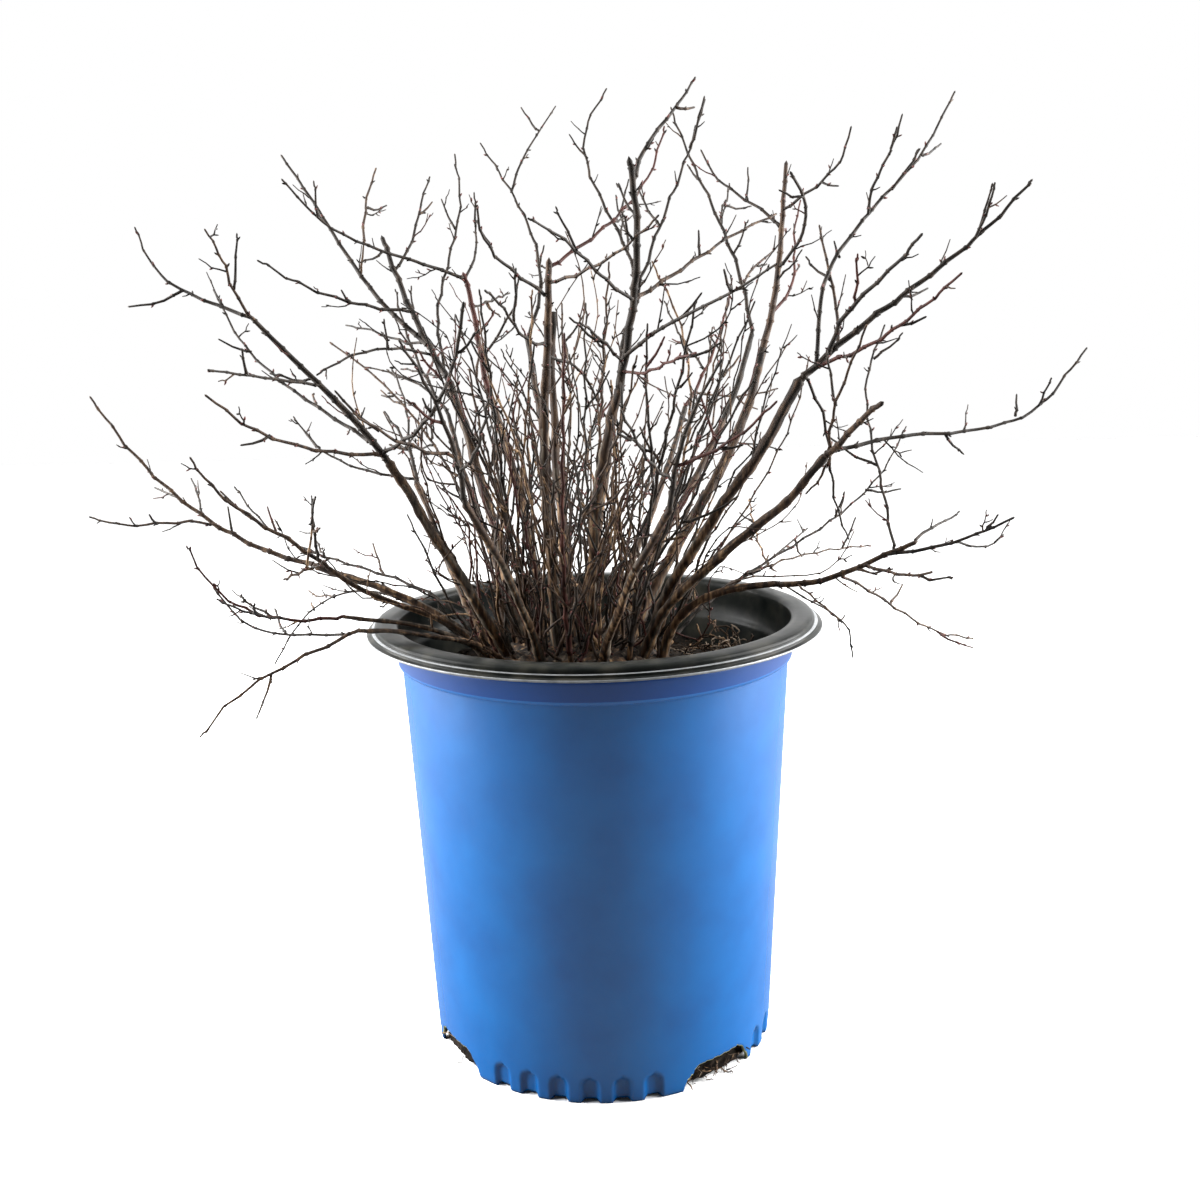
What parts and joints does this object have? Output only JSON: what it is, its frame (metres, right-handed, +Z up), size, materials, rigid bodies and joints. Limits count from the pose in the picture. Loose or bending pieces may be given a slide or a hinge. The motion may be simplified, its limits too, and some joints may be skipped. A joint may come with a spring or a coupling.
{
  "type": "potted spirea shrub",
  "caption": "Leafless winter spirea: a woody crown, a spreading fan of slim stems and fine twigs, in a filled round nursery pot with a rolled lip, a stepped wall and foot notches.",
  "frame": {"origin": "centre of the pot's flat underside", "axes": "+Z up along the pot's axis, the side seen in the picture faces -Y, +X to the right of that view"},
  "size_m": [0.5018, 0.3856, 0.5082],
  "materials": {
    "pot_plastic": "satin blue injection-moulded plastic, bleached paler at the sides, near black inside the lip",
    "potting_mix": "dark damp bark and peat crumbs",
    "bark": "tan-brown bark with darker streaks and peeling strips",
    "twigs": "thin dark brown to reddish twigs with small pointed buds"
  },
  "bodies": {
    "root": {"pot": "pot_plastic", "potting_mix": "potting_mix", "crown": "bark", "stem_back_far_left": "bark", "stem_back_far_right": "bark", "stem_back_left": "bark", "stem_back_middle": "bark", "stem_front_left": "bark", "stem_front_right": "bark", "stem_left_arch": "bark", "stem_left_droop": "bark", "stem_left_high": "bark", "stem_left_inner": "bark", "stem_left_long": "bark", "stem_left_low": "bark", "stem_left_main": "bark", "stem_left_under": "bark", "stem_middle_left": "bark", "stem_middle_right": "bark", "stem_middle_tall": "bark", "stem_right_low": "bark", "stem_right_out": "bark", "stem_right_pair": "bark", "stem_right_tall": "bark", "stem_right_wide": "bark", "twigs_back_far_left": "twigs", "twigs_back_far_right": "twigs", "twigs_back_left": "twigs", "twigs_back_middle": "twigs", "twigs_bundle_back": "twigs", "twigs_bundle_front": "twigs", "twigs_bundle_left": "twigs", "twigs_bundle_middle": "twigs", "twigs_bundle_right": "twigs", "twigs_front_left": "twigs", "twigs_front_right": "twigs", "twigs_left_arch": "twigs", "twigs_left_droop": "twigs", "twigs_left_high": "twigs", "twigs_left_inner": "twigs", "twigs_left_long": "twigs", "twigs_left_low": "twigs", "twigs_left_main": "twigs", "twigs_left_slim": "twigs", "twigs_left_thread": "twigs", "twigs_left_under": "twigs", "twigs_left_wavy": "twigs", "twigs_middle_left": "twigs", "twigs_middle_slim": "twigs", "twigs_middle_tall": "twigs", "twigs_middle_thread": "twigs", "twigs_right_low": "twigs", "twigs_right_out": "twigs", "twigs_right_pair": "twigs", "twigs_right_slim": "twigs", "twigs_right_tall": "twigs", "twigs_right_thread": "twigs", "twigs_right_wide": "twigs"}
  },
  "joints": []
}
